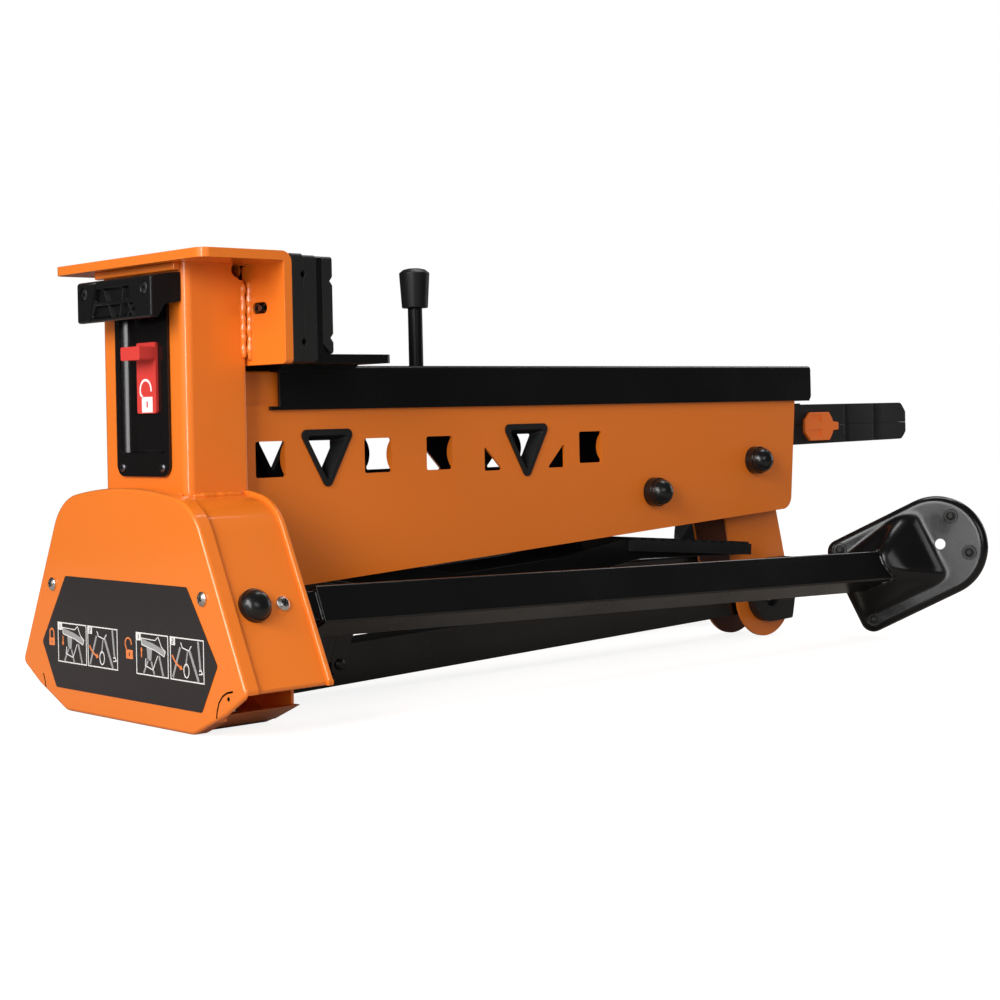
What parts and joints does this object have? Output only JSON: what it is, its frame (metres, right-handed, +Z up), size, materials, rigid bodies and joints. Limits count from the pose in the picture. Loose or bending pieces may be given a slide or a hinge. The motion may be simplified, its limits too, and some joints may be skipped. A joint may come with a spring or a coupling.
{
  "type": "portable clamping stand",
  "caption": "Folded portable clamping stand: a headstock with a fixed jaw, a long body with a sliding jaw, folding legs, a clamp pedal and a tail grip.",
  "frame": {"origin": "middle of the bounding box footprint, on the plane the folded stand rests on", "axes": "+X from the headstock to the tail grip, +Y across to the far side, +Z up"},
  "size_m": [1.016, 0.4294, 0.3695],
  "materials": {
    "orange_coat": "gloss",
    "black_coat": "gloss",
    "black_plastic": "satin",
    "black_rubber": "matte",
    "bright_zinc": "satin",
    "dark_steel": "satin",
    "red_plastic": "gloss",
    "orange_plastic": "gloss",
    "pale_nylon": "satin",
    "plate_print": "satin"
  },
  "bodies": {
    "frame": {"headstock_shell": "orange_coat", "front_cover": "orange_coat", "instruction_plate": "plate_print", "base_pan": "orange_coat", "column": "orange_coat", "jaw_plate": "orange_coat", "switch_panel": "black_plastic", "vent_cover": "black_plastic", "side_plate_near": "orange_coat", "side_plate_far": "orange_coat", "bezels_near": "black_plastic", "bezels_far": "black_plastic", "rail_near": "orange_coat", "rail_far": "orange_coat", "body_webs": "orange_coat", "fixed_axles": "bright_zinc", "spacer_tubes": "bright_zinc", "slide_pads": "pale_nylon", "axle_caps": "black_plastic", "bright_screws": "bright_zinc", "black_screws": "dark_steel", "tail_bracket": "orange_coat", "pivot_covers": "black_plastic", "rear_pivot_pin": "bright_zinc", "tail_grip_upper": "black_plastic", "tail_grip_lower": "black_plastic", "return_spring": "bright_zinc", "fixed_facing": "black_plastic", "leg_bolt_near": "bright_zinc", "leg_bolt_far": "bright_zinc"},
    "lock_switch": {"lock_slider": "red_plastic", "lock_link": "dark_steel"},
    "sliding_jaw": {"slide_channel": "black_coat", "moving_jaw": "black_coat", "moving_facing": "black_plastic", "rear_facing": "black_plastic", "jaw_bolts": "dark_steel", "pull_bar": "dark_steel", "stick_bracket": "black_coat"},
    "stick": {"release_stick": "black_coat", "stick_knob": "black_plastic"},
    "leg_near": {"front_leg_near": "black_coat", "leg_root_near": "black_coat", "front_foot_near": "black_coat", "foot_studs_near": "black_rubber"},
    "leg_far": {"front_leg_far": "black_coat", "leg_root_far": "black_coat", "front_foot_far": "black_coat", "foot_studs_far": "black_rubber"},
    "leg_rear": {"rear_leg": "black_coat", "rear_foot": "black_coat", "rear_foot_studs": "black_rubber", "leg_catch": "black_coat"},
    "pedal": {"pedal_arms": "black_coat", "pedal_treads": "black_plastic", "pedal_axle": "bright_zinc"},
    "drive_rod": {"pull_rod": "bright_zinc"},
    "lever": {"clamp_lever": "bright_zinc"},
    "grip": {"grip_plates": "bright_zinc"},
    "button": {"grip_button": "orange_plastic"}
  },
  "joints": [
    {"name": "jaw_slide", "type": "slide", "parent": "frame", "child": "sliding_jaw", "axis": [1, 0, 0], "range_m": [0, 0.5]},
    {"name": "stick_tilt", "type": "hinge", "parent": "sliding_jaw", "child": "stick", "pos_m": [-0.1985, 0, 0.2715], "axis": [0, 1, 0], "range_deg": [0, 20], "stiffness_Nm_per_rad": 0.6},
    {"name": "lock_travel", "type": "slide", "parent": "frame", "child": "lock_switch", "axis": [0, 0, -1], "range_m": [0, 0.028]},
    {"name": "leg_near_fold", "type": "hinge", "parent": "frame", "child": "leg_near", "pos_m": [-0.473, -0.13708, 0.098], "axis": [0, 0.8992, -0.4376], "range_deg": [0, 97]},
    {"name": "leg_far_fold", "type": "hinge", "parent": "frame", "child": "leg_far", "pos_m": [-0.473, 0.13708, 0.098], "axis": [0, 0.8992, 0.4376], "range_deg": [0, 97]},
    {"name": "leg_rear_fold", "type": "hinge", "parent": "frame", "child": "leg_rear", "pos_m": [0.247, 0, 0.043], "axis": [0, -1, 0], "range_deg": [0, 101.85]},
    {"name": "pedal_swing", "type": "hinge", "parent": "frame", "child": "pedal", "pos_m": [-0.38, 0, 0.122], "axis": [0, 1, 0], "range_deg": [0, 88]},
    {"name": "rod_shift", "type": "slide", "parent": "frame", "child": "drive_rod", "axis": [1, 0, 0], "range_m": [0, 0.0126]},
    {"name": "lever_turn", "type": "hinge", "parent": "frame", "child": "lever", "pos_m": [0.0603, 0, 0.1583], "axis": [0, -1, 0], "range_deg": [0, 30.2]},
    {"name": "grip_tilt", "type": "hinge", "parent": "frame", "child": "grip", "pos_m": [0.141, 0, 0.234], "axis": [0, 1, 0], "range_deg": [0, 5.1]},
    {"name": "button_press", "type": "slide", "parent": "frame", "child": "button", "axis": [0, 1, 0], "range_m": [0, 0.004], "stiffness_N_per_m": 900}
  ],
  "couplings": [
    {"joint": "rod_shift", "follows": "pedal_swing", "m_per_rad": 0.0081386},
    {"joint": "lever_turn", "follows": "pedal_swing", "ratio": 0.34091},
    {"joint": "grip_tilt", "follows": "pedal_swing", "ratio": 0.056818}
  ]
}
